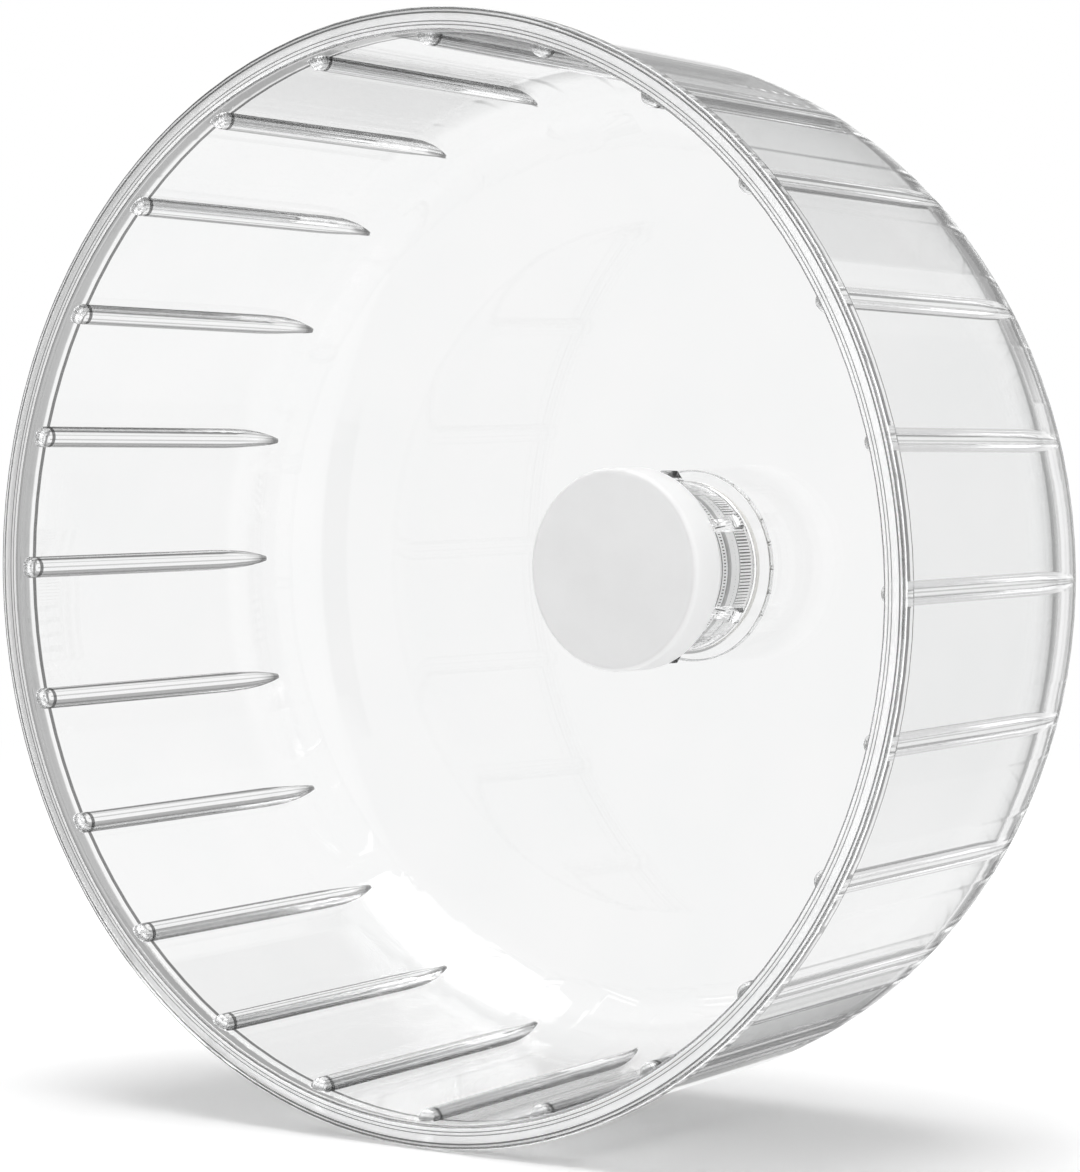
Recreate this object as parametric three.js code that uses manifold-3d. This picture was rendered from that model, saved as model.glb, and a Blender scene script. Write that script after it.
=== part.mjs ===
// Clear running wheel, carried on two ball bearings on a stub axle.
//
// The drum is one clear moulding: lip, drafted wall, rounded back corner, back disc, rungs and hub boss.
// A white sleeve in the boss holds two shielded ball bearings apart, and a white cap snaps over the front.
// A stub axle with a mounting flange carries the bearings' inner races from behind.
//
// Units are millimetres. The wheel turns about Y, its open front faces -Y and +Z is up.
// The origin is the centre of the flat rear face of the axle's mounting flange.

import * as THREE from "three";
import { mergeVertices } from "three/addons/utils/BufferGeometryUtils.js";
import Module from "manifold-3d";

// Drum: depths run back from the front face of the lip.
const lipRadius = 105; // outside of the lip round the open front
const lipHeight = 2; // how far the lip stands out from the wall
const lipDepth = 3; // thickness of the lip along the axis
const drumDepth = 89.5; // front of the lip to the back of the disc
const wall = 2.7; // thickness of the wall, the corner and the disc
const draft = THREE.MathUtils.degToRad(2.6); // the wall narrows towards the back
const backCorner = 31; // outside radius of the turn from the wall to the disc
const edgeRound = 0.8; // rounding of the lip's edges

// Rungs: half-round bars on the inside of the wall, domed in front and running out into the corner.
const rungCount = 24;
const rungRadius = 2.1;
const rungSetback = 3.6; // front of the lip to the centre of a rung's dome

// Hub boss, moulded with the drum
const bossWall = 2.15; // thickness of the tube round the sleeve
const bossFillet = 1.2; // root of the boss on the disc
const padRadius = 19; // raised pad behind the disc
const padHeight = 2;
const seatLip = 1.5; // lip behind the rear bearing
const seatLipOverlap = 2.4; // how far that lip reaches in over the sleeve and the rear outer race
const lugCount = 6; // ramped lugs round the boss, the first at the top
const lugWidth = 2.5;
const lugHeight = 2.3;
const lugRamp = 5.6; // length of the slope that faces the front
const lugCrest = 1.7;
const lugBack = 2.6; // length of the slope that faces the disc
const lugSetback = 2.1; // foot of the back slope to the disc

// Hub cap
const capSkirt = 2.8; // thickness of the skirt round the boss
const capDepth = 8.6;
const capWall = 2.2; // thickness of the face
const capRound = 1.2; // rounding of the face's edge
const capSpigotWall = 2.4; // ring inside the cap that holds the sleeve and the front outer race
const headRoom = 2.75; // between the screw's head and the inside of the cap
const snapDepth = 0.7; // bead inside the cap's skirt and its groove in the boss
const snapHalfWidth = 0.7;

// Ball bearings, both alike: 10 x 26 mm, and 8 mm wide from what they hold
const bearingBore = 10;
const bearingDiameter = 26;
const ballCount = 7;
const ballRadius = 2.38;
const raceShoulder = 2.2; // thickness of each race beside its groove
const shieldThickness = 0.5;
const shieldSeat = 0.3; // radial step in the outer race that takes a shield
const cageThickness = 1.8; // radial
const cageWeb = 0.42; // left behind each ball's pocket

// Bearing sleeve and inner spacer
const sleeveWall = 1.45;
const sleeveWaist = 0.6; // depth of the relief round the sleeve's middle, between its two press bands
const ribHeight = 1.4; // rib inside the sleeve that parts the outer races
const spacerLength = 3.7; // the rib, and the spacer between the inner races
const spacerWall = 1.9;

// Axle, screw and washer
const shoulderRadius = 7; // shoulder behind the rear inner race
const flangeRadius = 11;
const flangeThickness = 5;
const flangeGap = 1.2; // between the turning pad and the fixed flange
const mountHoleRadius = 1.25; // blind pilot holes in the flange's rear face
const mountHoleDepth = 4;
const mountHoleCircle = 7.5;
const mountHoleCount = 3;
const screwRadius = 2;
const screwHeadRadius = 4;
const screwHeadHeight = 2.4;
const screwLength = 14; // under the head
const washerThickness = 1;
const washerRadius = 7;
const axleChamfer = 0.5;

// Clearances
// sleeve in the boss, races in the sleeve and on the axle, parts stacked face to face
const seatClearance = 0.15;
const snapClearance = 0.3; // cap on the boss
const ballClearance = 0.25; // balls in their grooves and pockets
const pilotClearance = 0.2; // screw in the axle

// Facets
const drumSegments = 72;
const hubSegments = 36;
const bearingSegments = 28;
const rungSegments = 10;
const cornerSteps = 6;

const clearPlastic = { color: 0xf2f5f6, roughness: 0.06, metalness: 0, transparent: true, opacity: 0.3 };
const whitePlastic = { color: 0xe6e6e5, roughness: 0.5, metalness: 0 };
const nylon = { color: 0xf0efea, roughness: 0.45, metalness: 0 };
const raceSteel = { color: 0xc4c7ca, roughness: 0.18, metalness: 1 };
const zincSteel = { color: 0xaeb2b5, roughness: 0.3, metalness: 1 };
const cagePlastic = { color: 0x8c3b2a, roughness: 0.5, metalness: 0 };

const wasm = await Module();
wasm.setup();

// A closed three.js geometry as a solid for cutting and joining.
function toSolid(geometry) {
  geometry.deleteAttribute("normal");
  geometry.deleteAttribute("uv");
  const merged = mergeVertices(geometry, 1e-4);
  const index = merged.index.array;
  const triVerts = [];
  for (let i = 0; i < index.length; i += 3) {
    const [a, b, c] = index.slice(i, i + 3);
    if (a !== b && b !== c && c !== a) triVerts.push(a, b, c);
  }
  const vertProperties = merged.attributes.position.array;
  const mesh = new wasm.Mesh({ numProp: 3, vertProperties, triVerts: new Uint32Array(triVerts) });
  return new wasm.Manifold(mesh);
}

function toGeometry(solid) {
  const { vertProperties, triVerts } = solid.getMesh();
  const geometry = new THREE.BufferGeometry();
  geometry.setAttribute("position", new THREE.BufferAttribute(vertProperties, 3));
  geometry.setIndex(new THREE.BufferAttribute(triVerts, 1));
  geometry.computeVertexNormals();
  return geometry;
}

// A profile of [radius, depth] points turned about the wheel's axis. Its outside runs from back to front.
function revolve(profile, segments) {
  const points = profile.map(([radius, depth]) => new THREE.Vector2(radius, depth));
  return new THREE.LatheGeometry(points.reverse(), segments);
}

// A ring or disc whose profile closes on itself.
function revolveClosed(profile, segments) {
  return revolve([...profile, profile[0]], segments);
}

// Points on an arc about [radius, depth], with angles from outwards (0) to backwards (a quarter turn).
function arc([radius, depth], size, from, to, steps) {
  return Array.from({ length: steps + 1 }, (_, i) => {
    const angle = from + ((to - from) * i) / steps;
    return [radius + size * Math.cos(angle), depth + size * Math.sin(angle)];
  });
}

function part(name, solid, finish) {
  const mesh = new THREE.Mesh(toGeometry(solid), new THREE.MeshStandardMaterial(finish));
  mesh.name = name;
  return mesh;
}

const quarter = Math.PI / 2;

// Drum stations
const wallRadius = lipRadius - lipHeight; // outside of the wall just behind the lip
const cornerDepth = drumDepth - backCorner; // centre of the back corner
const outerRadiusAt = (depth) => wallRadius - (depth - lipDepth) * Math.tan(draft);
const innerRadiusAt = (depth) => outerRadiusAt(depth) - wall / Math.cos(draft);
const cornerRadius = outerRadiusAt(cornerDepth) - backCorner / Math.cos(draft);
const corner = [cornerRadius, cornerDepth];
const discFace = drumDepth - wall; // front face of the back disc
const padBack = drumDepth + padHeight;

// Half sections of a bearing, from its middle out: the pocket, the cage's web and the shield in its seat
const pocketRadius = ballRadius + ballClearance;
const cageFace = pocketRadius + cageWeb;
const shieldInside = cageFace + seatClearance; // inner end of a shield's seat
const halfWidth = shieldInside + shieldThickness + 2 * seatClearance;

// Hub radii, from the bearings out
const raceBore = bearingBore / 2;
const bearingRadius = bearingDiameter / 2;
const sleeveRadius = bearingRadius + seatClearance + sleeveWall;
const boreRadius = sleeveRadius + seatClearance;
const bossRadius = boreRadius + bossWall;
const skirtRadius = bossRadius + snapClearance;
const capRadius = skirtRadius + capSkirt;

// Hub stations, from the mounting face to the cap
const flangeFront = padBack + flangeGap;
const mountFace = flangeFront + flangeThickness;
const seatFloor = padBack - seatLip;
const rearBearing = seatFloor - seatClearance - halfWidth; // middle of each bearing
const frontBearing = rearBearing - 2 * halfWidth - spacerLength;
const shoulderDepth = rearBearing + halfWidth + seatClearance;
const frontBearingFace = frontBearing - halfWidth;
const washerFront = frontBearingFace - seatClearance - washerThickness;
const headBack = washerFront - seatClearance;
const headCrown = headBack - screwHeadHeight;
const capInside = headCrown - headRoom;
const capFront = capInside - capWall;
const capRear = capFront + capDepth;
const bossFront = capInside + snapClearance;
const snapStation = (bossFront + capRear) / 2;

// The drum's shell: the back disc, the corner, the wall and the lip, and in again along the inside.
function shellProfile() {
  const middle = bossRadius - bossWall / 2; // the disc ends inside the boss
  const lipEdge = lipRadius - edgeRound;
  const mouth = innerRadiusAt(0);
  return [
    [middle, drumDepth],
    ...arc(corner, backCorner, quarter, draft, cornerSteps),
    [wallRadius, lipDepth],
    ...arc([lipEdge, lipDepth - edgeRound], edgeRound, quarter, 0, 1),
    ...arc([lipEdge, edgeRound], edgeRound, 0, -quarter, 2),
    ...arc([mouth + edgeRound, edgeRound], edgeRound, -quarter, -2 * quarter, 1),
    ...arc(corner, backCorner - wall, draft, quarter, cornerSteps),
    [middle, discFace],
  ];
}

// The boss with its rear pad, from the lip of the bearing seat over the outside and back through the bore.
function bossProfile() {
  const lipHole = boreRadius - seatLipOverlap;
  const foot = bossRadius + bossFillet;
  const middle = drumDepth - wall / 2; // the pad starts inside the disc
  const grooveHalf = snapHalfWidth + snapClearance;
  return [
    [lipHole, padBack],
    [padRadius, padBack],
    [padRadius, middle],
    [foot, middle],
    ...arc([foot, discFace - bossFillet], bossFillet, quarter, 2 * quarter, 2),
    [bossRadius, snapStation + grooveHalf + snapDepth],
    [bossRadius - snapDepth, snapStation + grooveHalf],
    [bossRadius - snapDepth, snapStation - grooveHalf],
    [bossRadius, snapStation - grooveHalf - snapDepth],
    [bossRadius, bossFront],
    [boreRadius, bossFront],
    [boreRadius, seatFloor],
    [lipHole, seatFloor],
  ];
}

// One rung: a round bar with a domed front, lying along the inside of the drafted wall.
// Half of it is in the wall.
function rung(angle) {
  const length = drumDepth - rungSetback;
  const profile = [[0, length], [rungRadius, length], ...arc([0, 0], rungRadius, 0, -quarter, 3)];
  const bar = revolve(profile, rungSegments);
  bar.rotateZ(draft).translate(innerRadiusAt(rungSetback), rungSetback, 0).rotateY(-angle);
  return toSolid(bar);
}

// The space inside the middle of the wall's thickness: what trims the rungs, so that none shows outside.
function midWallSpace() {
  const inset = wall / 2;
  const profile = [
    [0, drumDepth - inset],
    ...arc(corner, backCorner - inset, quarter, draft, cornerSteps),
    [outerRadiusAt(0) - inset, 0],
    [0, 0],
  ];
  return toSolid(revolve(profile, drumSegments));
}

// One ramped lug on the boss, with its foot sunk in the tube.
function lug(angle) {
  const foot = bossRadius - bossWall / 2;
  const crest = bossRadius + lugHeight;
  const back = discFace - lugSetback;
  const outline = new THREE.Shape();
  outline.moveTo(foot, back);
  outline.lineTo(bossRadius, back);
  outline.lineTo(crest, back - lugBack);
  outline.lineTo(crest, back - lugBack - lugCrest);
  outline.lineTo(bossRadius, back - lugBack - lugCrest - lugRamp);
  outline.lineTo(foot, back - lugBack - lugCrest - lugRamp);
  outline.closePath();
  const block = new THREE.ExtrudeGeometry(outline, { depth: lugWidth, bevelEnabled: false });
  block.translate(0, 0, -lugWidth / 2).rotateY(-angle);
  return toSolid(block);
}

// Copies of a feature spaced evenly round the axis, joined.
function around(count, make, start = 0) {
  return Array.from({ length: count }, (_, i) => make(start + (2 * Math.PI * i) / count)).reduce((all, one) =>
    all.add(one),
  );
}

function runningDrum() {
  const shell = toSolid(revolveClosed(shellProfile(), drumSegments));
  const boss = toSolid(revolveClosed(bossProfile(), hubSegments));
  const rungs = around(rungCount, rung).intersect(midWallSpace());
  return shell.add(boss).add(rungs).add(around(lugCount, lug, quarter));
}

function hubCap() {
  const spigot = boreRadius - snapClearance;
  const spigotEnd = frontBearingFace - seatClearance;
  const beadFoot = snapHalfWidth + snapDepth;
  return toSolid(
    revolve(
      [
        [0, capInside],
        [spigot - capSpigotWall, capInside],
        [spigot - capSpigotWall, spigotEnd],
        [spigot, spigotEnd],
        [spigot, capInside],
        [skirtRadius, capInside],
        [skirtRadius, snapStation - beadFoot],
        [skirtRadius - snapDepth, snapStation - snapHalfWidth],
        [skirtRadius - snapDepth, snapStation + snapHalfWidth],
        [skirtRadius, snapStation + beadFoot],
        [skirtRadius, capRear],
        ...arc([capRadius - capRound / 2, capRear - capRound / 2], capRound / 2, quarter, 0, 1),
        ...arc([capRadius - capRound, capFront + capRound], capRound, 0, -quarter, 3),
        [0, capFront],
      ],
      hubSegments,
    ),
  );
}

// Ball bearing, about the middle of its width
const pitchRadius = (raceBore + bearingRadius) / 2;
const outerShoulder = bearingRadius - raceShoulder;
const innerShoulder = raceBore + raceShoulder;

// A race's groove between its two shoulders, from one side of the bearing to the other.
function groove(shoulder, outwards) {
  const reach = Math.acos(Math.abs(shoulder - pitchRadius) / pocketRadius);
  const middle = outwards ? 0 : 2 * quarter;
  return arc([pitchRadius, 0], pocketRadius, middle - reach, middle + reach, 4);
}

function outerRace() {
  const seat = outerShoulder + shieldSeat;
  return toSolid(
    revolveClosed(
      [
        [bearingRadius, halfWidth],
        [bearingRadius, -halfWidth],
        [seat, -halfWidth],
        [seat, -shieldInside],
        [outerShoulder, -shieldInside],
        ...groove(outerShoulder, true),
        [outerShoulder, shieldInside],
        [seat, shieldInside],
        [seat, halfWidth],
      ],
      bearingSegments,
    ),
  );
}

function innerRace() {
  return toSolid(
    revolveClosed(
      [
        [raceBore, -halfWidth],
        [raceBore, halfWidth],
        [innerShoulder, halfWidth],
        ...groove(innerShoulder, false),
        [innerShoulder, -halfWidth],
      ],
      bearingSegments,
    ),
  );
}

// A flat ring between two depths.
function ring(inside, outside, front, back) {
  const profile = [
    [outside, back],
    [outside, front],
    [inside, front],
    [inside, back],
  ];
  return toSolid(revolveClosed(profile, bearingSegments));
}

// A shield in the outer race, on the bearing's back (1) or front (-1).
function shield(side) {
  const near = side * (shieldInside + seatClearance);
  const far = side * (shieldInside + seatClearance + shieldThickness);
  const inside = innerShoulder + seatClearance;
  const outside = outerShoulder + shieldSeat - seatClearance;
  return ring(inside, outside, Math.min(near, far), Math.max(near, far));
}

function ball(angle) {
  const sphere = new THREE.IcosahedronGeometry(ballRadius, 1);
  sphere.translate(pitchRadius, 0, 0).rotateY(-angle);
  return toSolid(sphere);
}

// The round pocket that holds one ball in the cage, cut through from the axis outwards.
function pocket(angle) {
  const drill = new THREE.CylinderGeometry(pocketRadius, pocketRadius, 2 * cageThickness, rungSegments);
  drill.rotateZ(quarter).translate(pitchRadius, 0, 0).rotateY(-angle);
  return toSolid(drill);
}

// A crown cage: a ring beside the balls with an open pocket for each.
function cage(side) {
  const face = side * cageFace;
  const edge = side * cageWeb;
  const inside = pitchRadius - cageThickness / 2;
  const crown = ring(inside, inside + cageThickness, Math.min(face, edge), Math.max(face, edge));
  return crown.subtract(around(ballCount, pocket));
}

// One bearing's pieces, grouped at the middle of its width. Its cage opens towards the other bearing.
function bearing(name, depth, side) {
  const group = new THREE.Group();
  group.position.y = depth;
  group.add(part(`${name}_outer_race`, outerRace(), raceSteel));
  group.add(part(`${name}_inner_race`, innerRace(), raceSteel));
  group.add(part(`${name}_rear_shield`, shield(1), zincSteel));
  group.add(part(`${name}_front_shield`, shield(-1), zincSteel));
  group.add(part(`${name}_cage`, cage(side), cagePlastic));
  for (let i = 0; i < ballCount; i++) {
    group.add(part(`${name}_ball_${i + 1}`, ball((2 * Math.PI * i) / ballCount), raceSteel));
  }
  return group;
}

const spacerFront = frontBearing + halfWidth + seatClearance;
const spacerBack = rearBearing - halfWidth - seatClearance;

// The sleeve: two bands that press into the boss with a relief between them,
// and a rib inside that parts the races.
function bearingSleeve() {
  const inside = bearingRadius + seatClearance;
  const front = frontBearingFace;
  const back = seatFloor - seatClearance;
  return toSolid(
    revolveClosed(
      [
        [sleeveRadius, back],
        [sleeveRadius, spacerBack],
        [sleeveRadius - sleeveWaist, spacerBack],
        [sleeveRadius - sleeveWaist, spacerFront],
        [sleeveRadius, spacerFront],
        [sleeveRadius, front],
        [inside, front],
        [inside, spacerFront],
        [inside - ribHeight, spacerFront],
        [inside - ribHeight, spacerBack],
        [inside, spacerBack],
        [inside, back],
      ],
      bearingSegments,
    ),
  );
}

function innerSpacer() {
  return ring(raceBore, raceBore + spacerWall, spacerFront, spacerBack);
}

const axleRadius = raceBore - seatClearance;
const axleFront = frontBearingFace + axleChamfer; // short of the race, so that the washer clamps the race
const screwTip = headBack + screwLength;

function mountHole(angle) {
  const overshoot = 1;
  const length = mountHoleDepth + overshoot;
  const drill = new THREE.CylinderGeometry(mountHoleRadius, mountHoleRadius, length, rungSegments);
  drill.translate(mountHoleCircle, mountFace - mountHoleDepth + length / 2, 0).rotateY(-angle);
  return toSolid(drill);
}

function axle() {
  const pilot = screwRadius + pilotClearance;
  const profile = [
    [0, mountFace],
    [flangeRadius - axleChamfer, mountFace],
    [flangeRadius, mountFace - axleChamfer],
    [flangeRadius, flangeFront + axleChamfer],
    [flangeRadius - axleChamfer, flangeFront],
    [shoulderRadius, flangeFront],
    [shoulderRadius, shoulderDepth],
    [axleRadius, shoulderDepth],
    [axleRadius, axleFront + axleChamfer],
    [axleRadius - axleChamfer, axleFront],
    [pilot, axleFront],
    [pilot, screwTip + 1],
    [0, screwTip + 1],
  ];
  return toSolid(revolve(profile, bearingSegments)).subtract(around(mountHoleCount, mountHole, quarter));
}

function axleWasher() {
  return ring(screwRadius + pilotClearance, washerRadius, washerFront, washerFront + washerThickness);
}

function axleScrew() {
  const shankChamfer = screwRadius / 2;
  return toSolid(
    revolve(
      [
        [0, screwTip],
        [screwRadius - shankChamfer, screwTip],
        [screwRadius, screwTip - shankChamfer],
        [screwRadius, headBack],
        [screwHeadRadius, headBack],
        [screwHeadRadius, headBack - screwHeadHeight / 2],
        [screwHeadRadius - screwHeadHeight / 2, headCrown],
        [0, headCrown],
      ],
      bearingSegments,
    ),
  );
}

// Assembly: everything is laid out from the front of the lip,
// then set back so that the mounting face is at the origin.
const runningWheel = new THREE.Group();
const layout = new THREE.Group();
layout.position.y = -mountFace;
runningWheel.add(layout);
layout.add(part("running_drum", runningDrum(), clearPlastic));
layout.add(part("hub_cap", hubCap(), whitePlastic));
layout.add(bearing("front_bearing", frontBearing, -1));
layout.add(bearing("rear_bearing", rearBearing, 1));
layout.add(part("bearing_sleeve", bearingSleeve(), whitePlastic));
layout.add(part("inner_spacer", innerSpacer(), nylon));
layout.add(part("axle", axle(), nylon));
layout.add(part("axle_washer", axleWasher(), zincSteel));
layout.add(part("axle_screw", axleScrew(), zincSteel));

export default runningWheel;
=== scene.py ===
import math
import bmesh
import bpy
from mathutils import Matrix, Vector


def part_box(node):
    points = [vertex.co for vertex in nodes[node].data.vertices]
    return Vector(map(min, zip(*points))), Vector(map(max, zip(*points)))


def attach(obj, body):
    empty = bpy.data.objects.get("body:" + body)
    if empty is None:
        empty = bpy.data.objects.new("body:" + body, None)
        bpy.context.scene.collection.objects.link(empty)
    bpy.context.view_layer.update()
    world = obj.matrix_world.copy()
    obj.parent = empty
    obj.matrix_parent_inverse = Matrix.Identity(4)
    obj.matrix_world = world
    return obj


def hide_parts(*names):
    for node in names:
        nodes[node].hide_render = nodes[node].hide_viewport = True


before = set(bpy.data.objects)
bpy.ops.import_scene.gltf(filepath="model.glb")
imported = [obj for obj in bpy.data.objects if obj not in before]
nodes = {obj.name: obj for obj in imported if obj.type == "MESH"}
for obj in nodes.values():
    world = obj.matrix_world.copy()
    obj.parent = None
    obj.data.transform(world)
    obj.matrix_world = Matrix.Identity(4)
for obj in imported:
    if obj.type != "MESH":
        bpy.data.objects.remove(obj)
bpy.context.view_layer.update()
mm = 0.001
degree = math.radians(1)

# the lip's radius and the front of the lip come from the frame; all depths below run back from that front
drumLow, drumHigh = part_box("running_drum")
lipRadius = drumHigh.x
frontY = drumLow.y


def depthsOf(node):
    low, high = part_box(node)
    return low.y - frontY, high.y - frontY


def radiusOf(node):
    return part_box(node)[1].z


# profiles are lists of (radius, depth)

def spread(low, high, count):
    return [low + (high - low) * i / count for i in range(count + 1)]


def roundCorner(before, corner, after, radius, steps):
    toBefore = (Vector(before) - Vector(corner)).normalized()
    toAfter = (Vector(after) - Vector(corner)).normalized()
    halfAngle = toBefore.angle(toAfter) / 2
    trim = radius / math.tan(halfAngle)
    centre = Vector(corner) + (toBefore + toAfter).normalized() * (radius / math.sin(halfAngle))
    start = Vector(corner) + toBefore * trim - centre
    sweep = math.pi - 2 * halfAngle
    if start.x * toBefore.y - start.y * toBefore.x > 0:
        sweep = -sweep
    points = []
    for a in spread(0, sweep, steps):
        x = start.x * math.cos(a) - start.y * math.sin(a)
        y = start.x * math.sin(a) + start.y * math.cos(a)
        points.append((centre.x + x, centre.y + y))
    return points


def roundProfile(corners, closed=True):
    # corners are (radius, depth), or (radius, depth, rounding, steps) where the corner is rounded
    points = []
    last = len(corners) - 1
    for i, corner in enumerate(corners):
        if len(corner) == 2 or (not closed and i in (0, last)):
            points.append(corner[:2])
            continue
        before, after = corners[i - 1][:2], corners[(i + 1) % (last + 1)][:2]
        points += roundCorner(before, corner[:2], after, corner[2], corner[3])
    return points


# pieces are closed meshes; large flat faces keep their own normals, and only the roundings beside them bend
smoothing = {"sharpDegrees": 35, "faceWeight": 90}


def applyModifiers(piece):
    shape = piece.evaluated_get(bpy.context.evaluated_depsgraph_get())
    mesh = bpy.data.meshes.new_from_object(shape)
    piece.modifiers.clear()
    piece.data = mesh


def smoothFaces(piece, sharpDegrees):
    piece.data.shade_smooth()
    piece.data.set_sharp_from_angle(angle=math.radians(sharpDegrees))
    modifier = piece.modifiers.new("normals", "WEIGHTED_NORMAL")
    modifier.keep_sharp = True
    modifier.weight = smoothing["faceWeight"]
    applyModifiers(piece)


def addPiece(name, verts, faces, material, body, sharpDegrees=smoothing["sharpDegrees"]):
    mesh = bpy.data.meshes.new(name)
    mesh.from_pydata(verts, [], faces)
    mesh.validate()
    mesh.materials.append(material)
    piece = bpy.data.objects.new(name, mesh)
    bpy.context.scene.collection.objects.link(piece)
    smoothFaces(piece, sharpDegrees)
    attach(piece, body)
    return piece


def standIn(piece, node):
    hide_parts(node)
    return piece


def loopFaces(rows, columns):
    # quads of a grid that closes on itself both ways
    faces = []
    for i in range(rows):
        near, far = i * columns, ((i + 1) % rows) * columns
        for j in range(columns):
            k = (j + 1) % columns
            faces.append((near + j, near + k, far + k, far + j))
    return faces


def turned(name, profile, material, body, segments=96, sharpDegrees=smoothing["sharpDegrees"]):
    # a profile turned about the axle, outside first from the back; its points on the axis are single vertices
    nearZero = 1e-7
    verts, rings = [], []
    for r, d in profile:
        onAxis = r < nearZero
        ring = [len(verts)] * segments if onAxis else list(range(len(verts), len(verts) + segments))
        rings.append(ring)
        for j in range(1 if onAxis else segments):
            a = 2 * math.pi * j / segments
            verts.append((r * math.cos(a), frontY + d, r * math.sin(a)))
    faces = []
    for near, far in zip(rings, rings[1:] + rings[:1]):
        for j in range(segments):
            k = (j + 1) % segments
            face = tuple(dict.fromkeys((near[j], near[k], far[k], far[j])))
            if len(face) > 2:
                faces.append(face)
    return addPiece(name, verts, faces, material, body, sharpDegrees)


def cutAway(piece, cutters):
    # takes the cutters' volumes out of a piece and deletes them
    for cutter in cutters:
        modifier = piece.modifiers.new("cut", "BOOLEAN")
        modifier.operation = "DIFFERENCE"
        modifier.object = cutter
    applyModifiers(piece)
    smoothFaces(piece, smoothing["sharpDegrees"])
    for cutter in cutters:
        bpy.data.objects.remove(cutter)


def addDrill(place, radius, depth, sides):
    # a closed cylinder along Y for cutAway, as far in front of its place as behind it
    shape = bmesh.new()
    where = Matrix.Translation(place) @ Matrix.Rotation(math.pi / 2, 4, "X")
    bmesh.ops.create_cone(
        shape, cap_ends=True, segments=sides, radius1=radius, radius2=radius, depth=2 * depth, matrix=where)
    mesh = bpy.data.meshes.new("cutter")
    shape.to_mesh(mesh)
    shape.free()
    cutter = bpy.data.objects.new("cutter", mesh)
    bpy.context.scene.collection.objects.link(cutter)
    return cutter


# finishes: node helpers, two shared effects, and the materials of the plain pieces
noiseRange = (0.3, 0.7)  # a noise seldom leaves it
moulding = {"flow": 70.0, "bump": 0.5}
turning = {"blotch": 220.0, "bump": 0.4, "bumpDepth": 0.004 * mm}


def newMaterial(name):
    material = bpy.data.materials.new(name)
    material.use_nodes = True
    return material, material.node_tree, material.node_tree.nodes["Principled BSDF"]


def newGroup(name, inputs, outputs):
    group = bpy.data.node_groups.new(name, "ShaderNodeTree")
    for label, value in inputs:
        socket = group.interface.new_socket(name=label, in_out="INPUT", socket_type="NodeSocketFloat")
        socket.default_value = value
    for label in outputs:
        group.interface.new_socket(name=label, in_out="OUTPUT", socket_type="NodeSocketFloat")
    return group, group.nodes.new("NodeGroupInput"), group.nodes.new("NodeGroupOutput")


def placeGroup(tree, group, **values):
    node = tree.nodes.new("ShaderNodeGroup")
    node.node_tree = group
    for label, value in values.items():
        node.inputs[label].default_value = value
    return node


def objectPlace(tree):
    return tree.nodes.new("ShaderNodeTexCoord").outputs["Object"]


def splitPlace(tree, place):
    split = tree.nodes.new("ShaderNodeSeparateXYZ")
    tree.links.new(place, split.inputs["Vector"])
    return split.outputs


def addNoise(tree, place, scale, detail):
    noise = tree.nodes.new("ShaderNodeTexNoise")
    noise.inputs["Detail"].default_value = detail
    tree.links.new(place, noise.inputs["Vector"])
    tree.links.new(scale, noise.inputs["Scale"])
    return noise.outputs["Fac"]


def addMath(tree, operation, *values):
    node = tree.nodes.new("ShaderNodeMath")
    node.operation = operation
    for i, value in enumerate(values):
        if isinstance(value, (int, float)):
            node.inputs[i].default_value = value
        else:
            tree.links.new(value, node.inputs[i])
    return node.outputs["Value"]


def addLength(tree, first, second):
    squares = addMath(tree, "ADD", addMath(tree, "POWER", first, 2.0), addMath(tree, "POWER", second, 2.0))
    return addMath(tree, "SQRT", squares)


def allOf(tree, *masks):
    result = masks[0]
    for mask in masks[1:]:
        result = addMath(tree, "MULTIPLY", result, mask)
    return result


def blend(tree, kind, share, first, second):
    # first and second are white where they are None
    mix = tree.nodes.new("ShaderNodeMixRGB")
    mix.blend_type = kind
    for socket, value in zip(mix.inputs, (share, first, second)):
        if value is None:
            socket.default_value = (1, 1, 1, 1)
        elif isinstance(value, float):
            socket.default_value = value
        else:
            tree.links.new(value, socket)
    return mix.outputs["Color"]


def multiply(tree, *colours):
    result = colours[0]
    for colour in colours[1:]:
        result = blend(tree, "MULTIPLY", 1.0, result, colour)
    return result


def greyRamp(tree, value, unit, stops, ends=None):
    # grey along a value; stops are (place, grey), with the places in units
    low, high = ends or (stops[0][0], stops[-1][0])
    share = tree.nodes.new("ShaderNodeMapRange")
    share.inputs["From Min"].default_value = low * unit
    share.inputs["From Max"].default_value = high * unit
    tree.links.new(value, share.inputs["Value"])
    ramp = tree.nodes.new("ShaderNodeValToRGB")
    while len(ramp.color_ramp.elements) < len(stops):
        ramp.color_ramp.elements.new(0.5)
    for element, (place, grey) in zip(ramp.color_ramp.elements, stops):
        element.position = (place - low) / (high - low)
        element.color = (grey, grey, grey, 1)
    tree.links.new(share.outputs["Result"], ramp.inputs["Fac"])
    return ramp.outputs["Color"]


def between(tree, mask, low, high):
    mapped = tree.nodes.new("ShaderNodeMapRange")
    mapped.inputs["From Min"].default_value, mapped.inputs["From Max"].default_value = noiseRange
    mapped.inputs["To Min"].default_value = low
    mapped.inputs["To Max"].default_value = high
    tree.links.new(mask, mapped.inputs["Value"])
    return mapped.outputs["Result"]


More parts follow.
